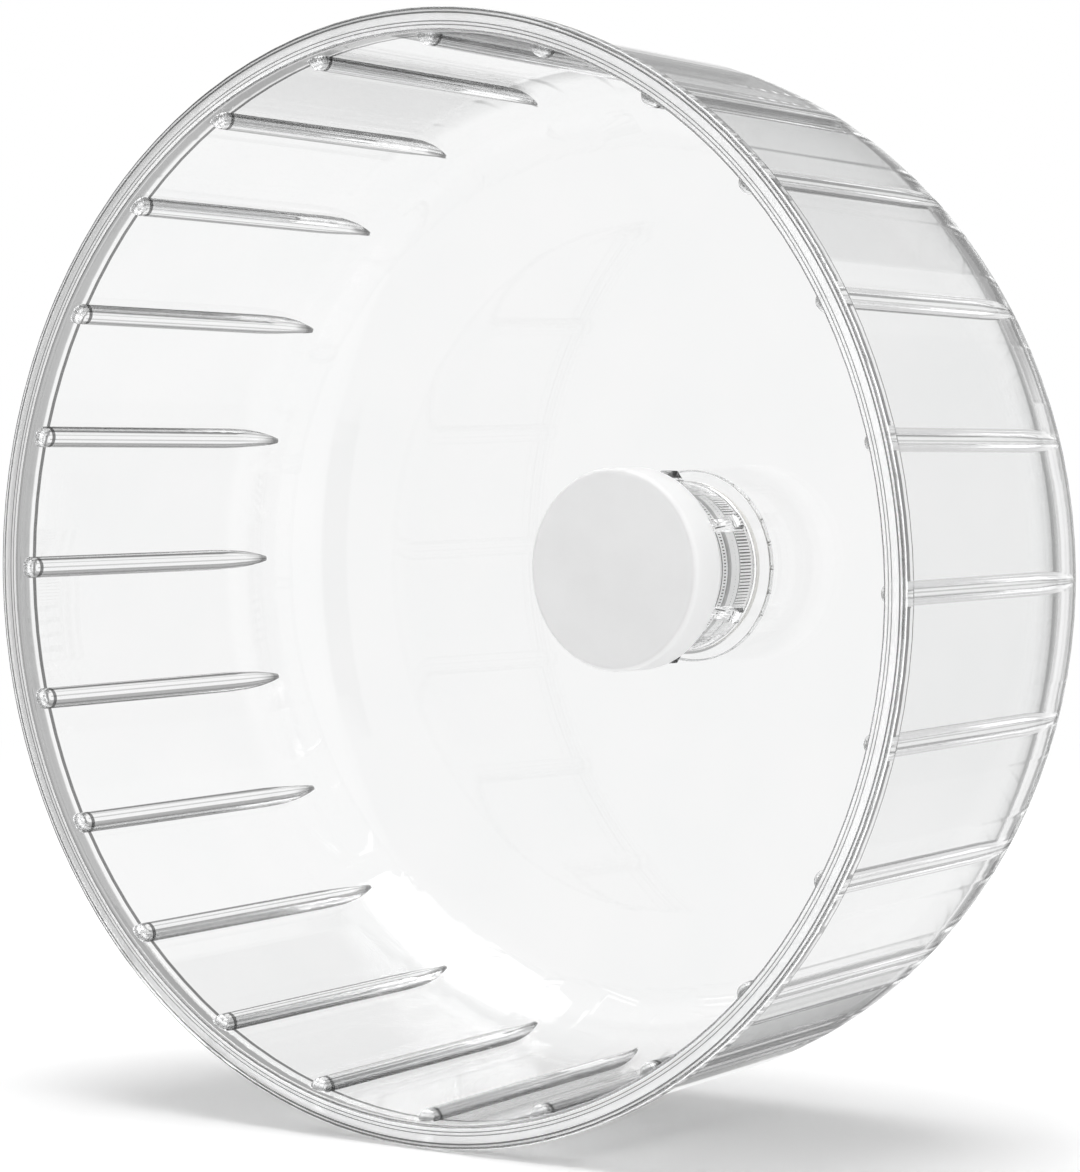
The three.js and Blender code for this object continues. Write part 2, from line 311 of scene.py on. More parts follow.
def blendColours(tree, mask, first, second):
    ramp = tree.nodes.new("ShaderNodeValToRGB")
    for element, place, colour in zip(ramp.color_ramp.elements, noiseRange, (first, second)):
        element.position = place
        element.color = (*colour, 1)
    tree.links.new(mask, ramp.inputs["Fac"])
    return ramp.outputs["Color"]


def addBump(tree, shader, height, distance, strength):
    bump = tree.nodes.new("ShaderNodeBump")
    bump.inputs["Distance"].default_value = distance
    bump.inputs["Strength"].default_value = strength
    tree.links.new(height, bump.inputs["Height"])
    tree.links.new(bump.outputs["Normal"], shader.inputs["Normal"])


def addGlow(material, colour, strength=1.0):
    # a faint painted glow of the piece's own, standing in for light, which isn't sampled as a lamp
    tree = material.node_tree
    shader = tree.nodes["Principled BSDF"]
    tree.links.new(colour, shader.inputs["Emission Color"])
    shader.inputs["Emission Strength"].default_value = strength
    material.cycles.emission_sampling = "NONE"


def mouldedSkin():
    # fine grain from the tool's surface, and slow flow marks
    group, entry, leave = newGroup("mouldedSkin", (("Grain", 2500.0), ("Flow", 60.0)), ("Grain", "Flow"))
    place = objectPlace(group)
    group.links.new(addNoise(group, place, entry.outputs["Grain"], detail=2.0), leave.inputs["Grain"])
    group.links.new(addNoise(group, place, entry.outputs["Flow"], detail=3.0), leave.inputs["Flow"])
    return group


def turnedLines():
    # fine rings round the axle, as a lathe or a grinding wheel leaves
    group, entry, leave = newGroup("turnedLines", (("Lines", 6000.0), ("Blotch", 180.0)), ("Lines", "Blotch"))
    place = objectPlace(group)
    x, y, z = splitPlace(group, place)
    rings = group.nodes.new("ShaderNodeCombineXYZ")
    group.links.new(addLength(group, x, z), rings.inputs["X"])
    group.links.new(y, rings.inputs["Y"])
    lines = addNoise(group, rings.outputs["Vector"], entry.outputs["Lines"], detail=1.0)
    group.links.new(lines, leave.inputs["Lines"])
    group.links.new(addNoise(group, place, entry.outputs["Blotch"], detail=2.0), leave.inputs["Blotch"])
    return group


skinGroup = mouldedSkin()
linesGroup = turnedLines()


def makeMoulded(name, colours, roughness, grain, grainDepth):
    material, tree, shader = newMaterial(name)
    skin = placeGroup(tree, skinGroup, Grain=grain, Flow=moulding["flow"])
    tree.links.new(blendColours(tree, skin.outputs["Flow"], *colours), shader.inputs["Base Color"])
    tree.links.new(between(tree, skin.outputs["Grain"], *roughness), shader.inputs["Roughness"])
    addBump(tree, shader, skin.outputs["Grain"], grainDepth, moulding["bump"])
    return material


def makeMetal(name, colours, roughness, lines):
    material, tree, shader = newMaterial(name)
    marks = placeGroup(tree, linesGroup, Lines=lines, Blotch=turning["blotch"])
    tree.links.new(blendColours(tree, marks.outputs["Blotch"], *colours), shader.inputs["Base Color"])
    tree.links.new(between(tree, marks.outputs["Lines"], *roughness), shader.inputs["Roughness"])
    shader.inputs["Metallic"].default_value = 1.0
    addBump(tree, shader, marks.outputs["Lines"], turning["bumpDepth"], turning["bump"])
    return material


nylon = makeMoulded(
    "naturalNylon", colours=((0.82, 0.81, 0.77), (0.87, 0.86, 0.83)), roughness=(0.38, 0.5), grain=1800.0,
    grainDepth=0.02 * mm)
cagePlastic = makeMoulded(
    "cagePlastic", colours=((0.26, 0.08, 0.04), (0.32, 0.1, 0.06)), roughness=(0.4, 0.55), grain=2400.0,
    grainDepth=0.015 * mm)
bearingSteel = makeMetal(
    "bearingSteel", colours=((0.6, 0.61, 0.63), (0.68, 0.69, 0.7)), roughness=(0.14, 0.26), lines=7000.0)
zincPlate = makeMetal(
    "zincPlate", colours=((0.52, 0.55, 0.57), (0.62, 0.64, 0.66)), roughness=(0.24, 0.4), lines=4000.0)
print("plain finishes: nylon, cage plastic, bearing steel and zinc plate")

# drum: one clear moulding, a single closed skin of rows round the section and columns round the wheel
drum = {
    "lipHeight": 2.0 * mm,
    "lipDepth": 3.0 * mm,
    "lipFillet": 2.8 * mm,
    "lipBackStep": 0.3 * mm,
    "lipBackRound": 0.25 * mm,
    "depth": 89.5 * mm,
    "wall": 2.7 * mm,
    "draft": math.radians(2.6),
    "backCorner": 31.0 * mm,
    "edgeRound": 0.8 * mm,
    "rungCount": 24,
    "rungRadius": 2.1 * mm,
    "rungSetback": 3.6 * mm,
    "rungRunOut": math.radians(28),  # round the inside of the back corner
    "rungStep": 15,  # degrees from column to column across the half-round bar
    "rungHair": 0.25 * mm,  # a hair is the gap from a feature to the next row or column
    "taper": (54.0 * mm, 70.0 * mm),  # depths between which a rung narrows
    "taperLoss": 0.55,  # share of its width
    "mouthHair": 0.15 * mm,
    "bossWall": 2.15 * mm,
    "bossFront": 64.0 * mm,
    "bossFillet": 1.2 * mm,
    "bossRound": 0.4 * mm,
    "padRadius": 19.0 * mm,
    "padRound": 0.3 * mm,
    "seatFloor": 90.0 * mm,
    "seatRound": 0.12 * mm,
    "lipHole": 12.35 * mm,
    "lipHoleFront": 0.3 * mm,
    "lipHoleBack": 0.4 * mm,
    "fitClearance": 0.15 * mm,
    "snapDepth": 0.7 * mm,
    "snapHalfWidth": 0.7 * mm,
    "snapRound": 0.15 * mm,
    "lugCount": 6,
    "lugHalfAngle": math.radians(4.0),
    "lugSideHair": math.radians(0.4),
    "lugHeight": 2.3 * mm,
    "lugStations": (74.8 * mm, 80.4 * mm, 82.1 * mm, 84.7 * mm),  # ramp foot, crest, crest, back foot
    "lugHair": 0.12 * mm,
}

# painted shade on the clear plastic, drawing its edges, rungs and lugs as grey lines; stops are (place in mm,
# grey): depth, radius, or distance from the middle of a rung
clear = {
    "ior": 1.5,
    "roughness": (0.0, 0.004),
    "flow": 45.0,
    "tints": ((0.93, 0.935, 0.935), (0.95, 0.95, 0.95)),
    "absorption": 0.6,
    "absorbed": (0.2, 0.22, 0.24),
    "halfWall": 1.3 * mm,  # deeper in the wall than this, a point belongs to its outside
    "outerEdge": (
        (0, 1.0), (0.03, 1.0), (0.06, 0.06), (0.3, 0.15), (0.5, 1.0), (2.55, 1.0), (2.65, 0.04), (3.02, 0.04),
        (3.2, 1.0), (8, 1.0)),
    "innerEdge": (
        (0, 1.0), (0.03, 1.0), (0.06, 0.12), (0.35, 0.3), (0.5, 1.0), (4.0, 1.0), (4.1, 0.05), (4.9, 0.05),
        (5.0, 1.0), (8, 1.0)),
    "frontFace": 0.02 * mm,  # depth that still counts as the front face
    "frontRings": (
        (100, 1.0), (101.5, 1.0), (101.55, 0.2), (101.75, 0.2), (101.8, 1.0), (102.15, 1.0), (102.2, 0.2),
        (102.4, 0.2), (102.45, 1.0), (103.7, 1.0), (103.75, 0.1), (104.05, 0.1), (104.1, 1.0), (106, 1.0)),
    "rungFlank": (
        (0, 0.45), (0.1, 0.45), (0.18, 1.0), (0.72, 1.0), (0.8, 0.55), (0.92, 0.55), (1.0, 1.0), (1.3, 0.8),
        (1.45, 0.35), (1.58, 0.35), (1.66, 0.75), (1.85, 0.6), (1.95, 0.15), (2.12, 0.15), (2.2, 1.0),
        (3, 1.0)),
    "rungTail": ((0, 1.0), (63.5, 1.0), (67.5, 0.6), (68.6, 0.2), (70, 0.2)),
    "rungEnd": 70.0 * mm,
    "rungFoot": 0.03 * mm,  # height above the wall where a rung's shades begin
    "rungReach": 0.1 * mm,  # how near to a bar's skin a point takes them
    "lugSide": (
        (16, 1.0), (17.0, 1.0), (17.05, 0.25), (17.3, 0.25), (17.35, 1.0), (17.7, 1.0), (17.8, 0.04),
        (19.5, 0.04), (19.6, 1.0), (21, 1.0)),
    "lugSideFront": 80.5 * mm,
    "lugSideReach": math.radians(0.7),  # how near to a lug's side a point takes its shades
    "frontRoughness": 0.65,
    # painted glow: on rays trapped long in the wall, and on the lip's front face
    "trappedAfter": 10,  # bounces
    "trappedGlow": 0.014,
    "edgeGlow": 0.22,
}

rungPitch = 2 * math.pi / drum["rungCount"]
lugPitch = 2 * math.pi / drum["lugCount"]
boreRadius = radiusOf("bearing_sleeve") + drum["fitClearance"]
bossRadius = boreRadius + drum["bossWall"]
snapStation = (drum["bossFront"] + depthsOf("hub_cap")[1]) / 2


def outerRadiusAt(depth):
    return lipRadius - drum["lipHeight"] - (depth - drum["lipDepth"]) * math.tan(drum["draft"])


def innerRadiusAt(depth):
    return outerRadiusAt(depth) - drum["wall"] / math.cos(drum["draft"])


# painted shade: dark lines round the lip's edges, outside and inside the wall
def paintedLipShade(tree, depth, height):
    outside = addMath(tree, "LESS_THAN", height, -clear["halfWall"])
    inner = greyRamp(tree, depth, mm, clear["innerEdge"])
    outer = greyRamp(tree, depth, mm, clear["outerEdge"])
    return blend(tree, "MIX", outside, inner, outer)


# painted shade: grey bands along each rung's flanks, darker towards its tail
def paintedRungShade(tree, angle, radius, depth, height):
    offset = addMath(tree, "ABSOLUTE", addMath(tree, "WRAP", angle, rungPitch / 2, -rungPitch / 2))
    taper = tree.nodes.new("ShaderNodeMapRange")
    taper.inputs["From Min"].default_value, taper.inputs["From Max"].default_value = drum["taper"]
    tree.links.new(depth, taper.inputs["Value"])
    lost = addMath(tree, "MULTIPLY", addMath(tree, "POWER", taper.outputs["Result"], 2.0), drum["taperLoss"])
    width = addMath(tree, "SUBTRACT", 1.0, lost)
    aside = addMath(tree, "DIVIDE", addMath(tree, "MULTIPLY", offset, radius), width)
    overhang = addMath(tree, "MINIMUM", addMath(tree, "SUBTRACT", depth, drum["rungSetback"]), 0.0)
    across = addLength(tree, aside, overhang)
    proud = allOf(
        tree,
        addMath(tree, "COMPARE", addLength(tree, across, height), drum["rungRadius"], clear["rungReach"]),
        addMath(tree, "GREATER_THAN", height, clear["rungFoot"]),
        addMath(tree, "LESS_THAN", depth, clear["rungEnd"]))
    flanks = greyRamp(tree, across, mm, clear["rungFlank"])
    tails = greyRamp(tree, depth, mm, clear["rungTail"])
    return blend(tree, "MIX", proud, None, multiply(tree, flanks, tails))


def paintedLugShade(tree, angle, radius, depth):
    # painted shade: dark on the lugs' sides
    # a lug stands in the middle of each pitch
    share = addMath(tree, "SUBTRACT", addMath(tree, "FRACT", addMath(tree, "DIVIDE", angle, lugPitch)), 0.5)
    fromLug = addMath(tree, "MULTIPLY", addMath(tree, "ABSOLUTE", share), lugPitch)
    side = allOf(
        tree,
        addMath(tree, "COMPARE", fromLug, drum["lugHalfAngle"], clear["lugSideReach"]),
        addMath(tree, "GREATER_THAN", depth, clear["lugSideFront"]),
        addMath(tree, "LESS_THAN", depth, drum["lugStations"][-1]))
    return blend(tree, "MIX", side, None, greyRamp(tree, radius, mm, clear["lugSide"]))


def paintedEdgeShade(tree):
    # painted shade: greyer where the lip's edges, the rungs' flanks and tails and the lugs' sides turn away,
    # drawing them as dark lines
    x, y, z = splitPlace(tree, objectPlace(tree))
    radius = addLength(tree, x, z)
    angle = addMath(tree, "ARCTAN2", z, x)
    depth = addMath(tree, "SUBTRACT", y, frontY)
    drafted = addMath(tree, "ADD", radius, addMath(tree, "MULTIPLY", depth, math.tan(drum["draft"])))
    height = addMath(tree, "SUBTRACT", innerRadiusAt(0), drafted)  # above the inside of the wall
    front = addMath(tree, "LESS_THAN", depth, clear["frontFace"])
    # painted shade: thin dark rings on the lip's front face
    rings = blend(tree, "MIX", front, None, greyRamp(tree, radius, mm, clear["frontRings"]))
    lip = paintedLipShade(tree, depth, height)
    rungs = paintedRungShade(tree, angle, radius, depth, height)
    lugs = paintedLugShade(tree, angle, radius, depth)
    return multiply(tree, lip, rings, rungs, lugs), front


def makeClearPlastic():
    material, tree, shader = newMaterial("clearPlastic")
    flow = placeGroup(tree, skinGroup, Flow=clear["flow"]).outputs["Flow"]
    tint = blendColours(tree, flow, *clear["tints"])
    shades, front = paintedEdgeShade(tree)
    tree.links.new(multiply(tree, tint, shades), shader.inputs["Base Color"])
    smooth = between(tree, flow, *clear["roughness"])
    frosted = addMath(tree, "MULTIPLY", front, clear["frontRoughness"])
    tree.links.new(addMath(tree, "MAXIMUM", smooth, frosted), shader.inputs["Roughness"])
    # a painted glow on rays that have run on and on inside the wall, so that they don't go black
    bounces = tree.nodes.new("ShaderNodeLightPath").outputs["Ray Depth"]
    trapped = addMath(tree, "GREATER_THAN", bounces, clear["trappedAfter"])
    glow = addMath(tree, "MULTIPLY", trapped, clear["trappedGlow"])
    # a painted glow on the lip's front face, lightening the band there
    glow = addMath(tree, "ADD", glow, addMath(tree, "MULTIPLY", front, clear["edgeGlow"]))
    addGlow(material, multiply(tree, glow, shades))
    shader.inputs["IOR"].default_value = clear["ior"]
    shader.inputs["Transmission Weight"].default_value = 1.0
    volume = tree.nodes.new("ShaderNodeVolumeAbsorption")
    volume.inputs["Color"].default_value = (*clear["absorbed"], 1)
    volume.inputs["Density"].default_value = clear["absorption"]
    tree.links.new(volume.outputs["Volume"], tree.nodes["Material Output"].inputs["Volume"])
    return material


def outsideRows():
    # from the hole in the pad over the outside, in at the mouth and on to the inside of the wall
    depth, edge = drum["depth"], drum["edgeRound"]
    padBack = drumHigh.y - frontY
    wallMiddle = depth / 2
    lipBack = []
    sweepStart = drum["lipDepth"] + drum["lipFillet"]
    footRadius = outerRadiusAt(sweepStart)
    sweepRise = lipRadius - drum["lipBackStep"] - footRadius
    for a in spread(0, math.pi / 2, 14):
        r = footRadius + sweepRise * (1 - math.cos(a))
        lipBack.append((r, sweepStart - drum["lipFillet"] * math.sin(a)))
    outside = roundProfile([
        (drum["lipHole"], drum["seatFloor"]),
        (drum["lipHole"], padBack, drum["lipHoleBack"], 3),
        (drum["padRadius"], padBack, drum["padRound"], 4),
        (drum["padRadius"], depth, drum["padRound"], 4),
        (outerRadiusAt(depth), depth, drum["backCorner"], 32),
        *lipBack,
        (lipRadius, drum["lipDepth"], drum["lipBackRound"], 3),
        (lipRadius, 0, edge, 6),
        (innerRadiusAt(0), 0, edge, 6),
        (innerRadiusAt(wallMiddle), wallMiddle),
    ], closed=False)
    return [("plain", r, d) for r, d in outside[1:-1]]


def insideRows():
    # the wall, the corner and the disc, with rows close together where the rungs begin, narrow and run out
    setback, corner = drum["rungSetback"], drum["backCorner"]
    cornerRadius, cornerDepth = corner - drum["wall"], drum["depth"] - corner
    cornerCentre = outerRadiusAt(cornerDepth) - corner / math.cos(drum["draft"])
    dome = [setback - drum["rungRadius"] * math.cos(a) for a in spread(0, math.pi / 2, 9)]
    arcStart = cornerDepth + cornerRadius * math.sin(drum["draft"])
    taperStart = drum["taper"][0]
    straight = [dome[0] - drum["mouthHair"]] + dome + spread(setback, taperStart, 7)[1:]
    straight += spread(taperStart, arcStart, 4)[1:-1]
    rows = [("inner", innerRadiusAt(d), d) for d in straight]
    runOut = drum["rungRunOut"]
    for a in spread(drum["draft"], runOut, 22) + spread(runOut, math.pi / 2, 14)[1:]:
        r = cornerCentre + cornerRadius * math.cos(a)
        rows.append(("inner", r, cornerDepth + cornerRadius * math.sin(a)))
    discFace = drum["depth"] - drum["wall"]
    fillet, front = drum["bossFillet"], drum["bossFront"]
    rows += [("plain", r, discFace) for r in spread(cornerCentre, bossRadius + fillet, 4)[1:-1]]
    foot = roundCorner((cornerCentre, discFace), (bossRadius, discFace), (bossRadius, front), fillet, 6)
    return rows + [("plain", r, d) for r, d in foot]


def hubRows():
    # the rows that carry the lugs, the snap groove, the bore and its floor
    padBack = drumHigh.y - frontY
    rampFoot, crestFront, crestBack, backFoot = drum["lugStations"]
    hair = drum["lugHair"]
    lugDepths = (backFoot + hair, backFoot, crestBack, crestFront, rampFoot, rampFoot - hair)
    rows = [("boss", bossRadius, d) for d in lugDepths]
    grooveFoot = drum["snapHalfWidth"] + drum["snapDepth"]
    grooveFloor = bossRadius - drum["snapDepth"]
    hub = roundProfile([
        (bossRadius, rampFoot - 2 * hair),
        (bossRadius, snapStation + grooveFoot, drum["snapRound"], 2),
        (grooveFloor, snapStation + drum["snapHalfWidth"], drum["snapRound"], 2),
        (grooveFloor, snapStation - drum["snapHalfWidth"], drum["snapRound"], 2),
        (bossRadius, snapStation - grooveFoot, drum["snapRound"], 2),
        (bossRadius, drum["bossFront"], drum["bossRound"], 3),
        (boreRadius, drum["bossFront"], drum["bossRound"], 3),
        (boreRadius, drum["seatFloor"], drum["seatRound"], 2),
        (drum["lipHole"], drum["seatFloor"], drum["lipHoleFront"], 3),
        (drum["lipHole"], padBack),
    ], closed=False)
    return rows + [("plain", r, d) for r, d in hub[1:-1]]


def drumColumns():
    # one rung pitch: across the rung, a hair beside it, and plain angles that also mark the lugs' sides
    hair, lugSide = drum["rungHair"], drum["lugHalfAngle"]
    besideLug = lugSide + drum["lugSideHair"]
    plain = (lugSide, besideLug, rungPitch / 2, rungPitch - besideLug, rungPitch - lugSide)
    columns = [("rung", math.radians(t)) for t in range(-90, 91, drum["rungStep"])]
    columns = [("beside", -hair)] + columns + [("beside", hair)]
    return columns + [("plain", a) for a in plain]


def taperAt(depth):
    # share of the rung's width: it narrows towards its tail, and the columns behind the tail spread again
    start, end = drum["taper"]
    behind = end + (end - start)
    share = max(0.0, min((depth - start) / (end - start), (behind - depth) / (end - start)))
    return 1 - drum["taperLoss"] * share ** 2


def columnAngle(column, axisRadius, halfWidth):
    kind, value = column
    if kind == "rung":
        return math.asin(halfWidth * math.sin(value) / axisRadius)
    if kind == "beside":
        return (math.copysign(halfWidth, value) + value) / axisRadius
    return value


def rungSurface(radius, depth, offset):
    # the wall, or the half-round bar where it stands proud of the wall
    axisRadius = innerRadiusAt(depth)
    overhang = min(0.0, depth - drum["rungSetback"])
    aside = axisRadius * math.sin(offset) / taperAt(depth)
    reach = drum["rungRadius"] ** 2 - aside ** 2 - overhang ** 2
    if reach <= 0:
        return radius
    return min(radius, axisRadius * math.cos(offset) - math.sqrt(reach))


def lugSurface(radius, depth, angle):
    slack = 1e-4  # so that a column on a lug's side counts as on the lug
    offset = (angle - math.pi / 2 + lugPitch / 2) % lugPitch - lugPitch / 2
    rampFoot, crestFront, crestBack, backFoot = drum["lugStations"]
    if abs(offset) > drum["lugHalfAngle"] + slack or not rampFoot < depth < backFoot:
        return radius
    rise = min(1.0, (depth - rampFoot) / (crestFront - rampFoot), (backFoot - depth) / (backFoot - crestBack))
    return radius + drum["lugHeight"] * rise


def makeDrum():
    rows, columns = outsideRows() + insideRows() + hubRows(), drumColumns()
    middleRadius = innerRadiusAt(drum["depth"] / 2)
    verts = []
    for kind, radius, depth in rows:
        axisRadius = innerRadiusAt(depth) if kind == "inner" else middleRadius
        halfWidth = drum["rungRadius"] * (taperAt(depth) if kind == "inner" else 1.0)
        for i in range(drum["rungCount"]):
            for column in columns:
                offset = columnAngle(column, axisRadius, halfWidth)
                angle = rungPitch * i + offset
                r = radius
                if kind == "inner" and offset < rungPitch / 4:
                    r = rungSurface(radius, depth, offset)
                elif kind == "boss":
                    r = lugSurface(radius, depth, angle)
                verts.append((r * math.cos(angle), frontY + depth, r * math.sin(angle)))
    faces = loopFaces(len(rows), drum["rungCount"] * len(columns))
    piece = addPiece("clear_drum", verts, faces, makeClearPlastic(), "wheel", sharpDegrees=40)
    return standIn(piece, "running_drum")


clearDrum = makeDrum()
print("drum:", len(clearDrum.data.polygons), "faces")

# cap: satin white, snapped over the front of the boss
cap = {
    "wall": 2.2 * mm,
    "faceRound": 1.3 * mm,
    "skirt": 2.8 * mm,
    "skirtRound": 0.35 * mm,
    "rearRound": 0.5 * mm,
    "spigotWall": 2.4 * mm,
    "spigotGap": 0.3 * mm,
    "spigotRound": 0.3 * mm,
    "colours": ((0.87, 0.87, 0.87), (0.91, 0.91, 0.91)),
    "roughness": (0.4, 0.52),
    "grain": 2600.0,
    "grainDepth": 0.02 * mm,
    "glow": ((0, 0.0), (0.96, 0.0), (1.0, 0.26), (1.1, 0.26)),  # by share of the cap's radius
}


def makeCapPlastic():
    # the side glows faintly, for the lamp light that doesn't reach it through the clear wall
    material = makeMoulded("capPlastic", cap["colours"], cap["roughness"], cap["grain"], cap["grainDepth"])
    tree = material.node_tree
    x, y, z = splitPlace(tree, objectPlace(tree))
    addGlow(material, greyRamp(tree, addLength(tree, x, z), radiusOf("hub_cap"), cap["glow"]))
    return material


def makeCap():
    front, rear = depthsOf("hub_cap")
    radius = radiusOf("hub_cap")
    inside, skirt = front + cap["wall"], radius - cap["skirt"]
    spigot = boreRadius - cap["spigotGap"]
    spigotEnd = depthsOf("bearing_sleeve")[0] - drum["fitClearance"]
    beadFoot, beadTop = drum["snapHalfWidth"] + drum["snapDepth"], skirt - drum["snapDepth"]
    profile = roundProfile([
        (0, inside),
        (spigot - cap["spigotWall"], inside),
        (spigot - cap["spigotWall"], spigotEnd, cap["spigotRound"], 2),
        (spigot, spigotEnd, cap["spigotRound"], 2),
        (spigot, inside),
        (skirt, inside),
        (skirt, snapStation - beadFoot, drum["snapRound"], 2),
        (beadTop, snapStation - drum["snapHalfWidth"], drum["snapRound"], 2),
        (beadTop, snapStation + drum["snapHalfWidth"], drum["snapRound"], 2),
        (skirt, snapStation + beadFoot, drum["snapRound"], 2),
        (skirt, rear, cap["skirtRound"], 3),
        (radius, rear, cap["rearRound"], 5),
        (radius, front, cap["faceRound"], 12),
        (0, front),
    ], closed=False)
    piece = turned("satin_cap", profile, makeCapPlastic(), "wheel", segments=192)
    return standIn(piece, "hub_cap")


satinCap = makeCap()
print("cap:", len(satinCap.data.polygons), "faces")

# sleeve: white, with a groove, a ring of dots and a band of fine straight knurls
sleeve = {
    "wall": 1.45 * mm,
    "lead": 0.4 * mm,  # chamfer at the ends; half of it at the groove and the knurls
    "groove": (78.7 * mm, 79.9 * mm),
    "grooveDepth": 0.4 * mm,
    "knurled": (83.4 * mm, 87.2 * mm),
    "knurls": 150,
    "knurlDepth": 0.2 * mm,
    "rib": 1.4 * mm,
    "ribHalf": 1.7 * mm,
    "colours": ((0.9, 0.9, 0.9), (0.94, 0.94, 0.94)),
    "roughness": (0.35, 0.45),
    "grain": 2200.0,
    "grainDepth": 0.01 * mm,
    "glow": 0.5,
    "tickShift": 0.125,  # in turns of one knurl
    "tickStart": 0.6,  # the rest of the turn is dark
    # painted shades are (depth in mm, grey)
    "tickShades": (
        (70, 1.0), (77.4, 1.0), (77.5, 0.06), (78.1, 0.06), (78.2, 1.0), (81.4, 1.0), (81.5, 0.5),
        (81.7, 0.5), (81.8, 1.0), (83.3, 1.0), (83.4, 0.06), (87.2, 0.06), (87.3, 1.0), (90, 1.0)),
    "lineShades": (
        (70, 1.0), (76.5, 1.0), (76.6, 0.2), (76.9, 0.2), (77.0, 1.0), (78.6, 1.0), (78.7, 0.06),
        (79.2, 0.12), (80.0, 0.6), (80.2, 1.0), (82.8, 1.0), (82.9, 0.3), (83.1, 0.3), (83.2, 1.0),
        (87.5, 1.0), (87.6, 0.3), (87.9, 0.3), (88.0, 1.0), (90, 1.0)),
}


def makeSleevePlastic():
    # white; painted shade darkens the knurls' valleys and the edges of the groove, and a ring of dots is
    # painted dark
    material, tree, shader = newMaterial("sleevePlastic")
    skin = placeGroup(tree, skinGroup, Grain=sleeve["grain"], Flow=moulding["flow"])
    x, y, z = splitPlace(tree, objectPlace(tree))
    depth = addMath(tree, "SUBTRACT", y, frontY)
    turn = addMath(tree, "MULTIPLY", addMath(tree, "ARCTAN2", z, x), sleeve["knurls"] / (2 * math.pi))
    turn = addMath(tree, "FRACT", addMath(tree, "ADD", turn, sleeve["tickShift"]))
    tick = addMath(tree, "GREATER_THAN", turn, sleeve["tickStart"])
    ticks = blend(tree, "MIX", tick, None, greyRamp(tree, depth, mm, sleeve["tickShades"]))
    lines = greyRamp(tree, depth, mm, sleeve["lineShades"])
    shades = multiply(tree, blendColours(tree, skin.outputs["Flow"], *sleeve["colours"]), ticks, lines)
    tree.links.new(shades, shader.inputs["Base Color"])
    addGlow(material, shades, sleeve["glow"])  # lamp light doesn't reach it through the clear boss
    tree.links.new(between(tree, skin.outputs["Grain"], *sleeve["roughness"]), shader.inputs["Roughness"])
    addBump(tree, shader, skin.outputs["Grain"], sleeve["grainDepth"], moulding["bump"])
    return material


def makeSleeve():
    front, back = depthsOf("bearing_sleeve")
    outside = radiusOf("bearing_sleeve")
    inside = outside - sleeve["wall"]
    middle = (depthsOf("front_bearing_outer_race")[1] + depthsOf("rear_bearing_outer_race")[0]) / 2
    ribFront, ribBack = middle - sleeve["ribHalf"], middle + sleeve["ribHalf"]
    grooveFront, grooveBack = sleeve["groove"]
    knurlFront, knurlBack = sleeve["knurled"]
    floor, lead = outside - sleeve["grooveDepth"], sleeve["lead"]
    rows = [
        (False, inside, back),
        (False, outside - lead, back),
        (False, outside, back - lead),
        (False, outside, knurlBack + lead / 2),
        (True, outside, knurlBack),
        (True, outside, knurlFront),
        (False, outside, knurlFront - lead / 2),
        (False, outside, grooveBack),
        (False, floor, grooveBack - lead / 2),
        (False, floor, grooveFront + lead / 2),
        (False, outside, grooveFront),
        (False, outside, front + lead),
        (False, outside - lead, front),
        (False, inside, front),
        (False, inside, ribFront),
        (False, inside - sleeve["rib"], ribFront),
        (False, inside - sleeve["rib"], ribBack),
        (False, inside, ribBack),
    ]
    verts = []
    columns = sleeve["knurls"] * 4  # two on a knurl's crest, two in its valley
    for knurled, r, d in rows:
        for j in range(columns):
            a = 2 * math.pi * j / columns
            depthCut = sleeve["knurlDepth"] if knurled and j % 4 > 1 else 0
            verts.append(((r - depthCut) * math.cos(a), frontY + d, (r - depthCut) * math.sin(a)))
    faces = loopFaces(len(rows), columns)
    piece = addPiece("knurled_sleeve", verts, faces, makeSleevePlastic(), "wheel", sharpDegrees=25)
    return standIn(piece, "bearing_sleeve")


knurledSleeve = makeSleeve()
print("sleeve:", len(knurledSleeve.data.polygons), "faces")

# bearings: ground races, pressed shields and polished balls in place of the plain solids; both are alike
bearing = {
    "pocketRadius": 2.63 * mm,
    "raceShoulder": 2.2 * mm,
    "shoulderRound": 0.15 * mm,
    "shieldSeat": 0.3 * mm,
    "seatRound": 0.1 * mm,
    "shieldInside": 3.2 * mm,
    "shieldWidth": 3.6 * mm,
    "shieldStep": 0.15 * mm,
    "stepInside": (1.1 * mm, 1.5 * mm),  # from the shield's hole
    "stepOutside": (1.2 * mm, 1.6 * mm),
    "shieldGauge": 0.32 * mm,
    "shieldRound": 0.08 * mm,
    "spacerWall": 1.9 * mm,
    "edge": 0.35 * mm,
    "sharpDegrees": 30,
}


def groovePoints(pitchRadius, shoulder, middle, outwards):
    # the ball groove, from the front of the bearing to the back
    pocket = bearing["pocketRadius"]
    reach = math.acos(abs(shoulder - pitchRadius) / pocket)
    side = 1 if outwards else -1
    points = []
    for a in spread(-reach, reach, 14):
        points.append((pitchRadius + side * pocket * math.cos(a), middle + pocket * math.sin(a)))
    return points


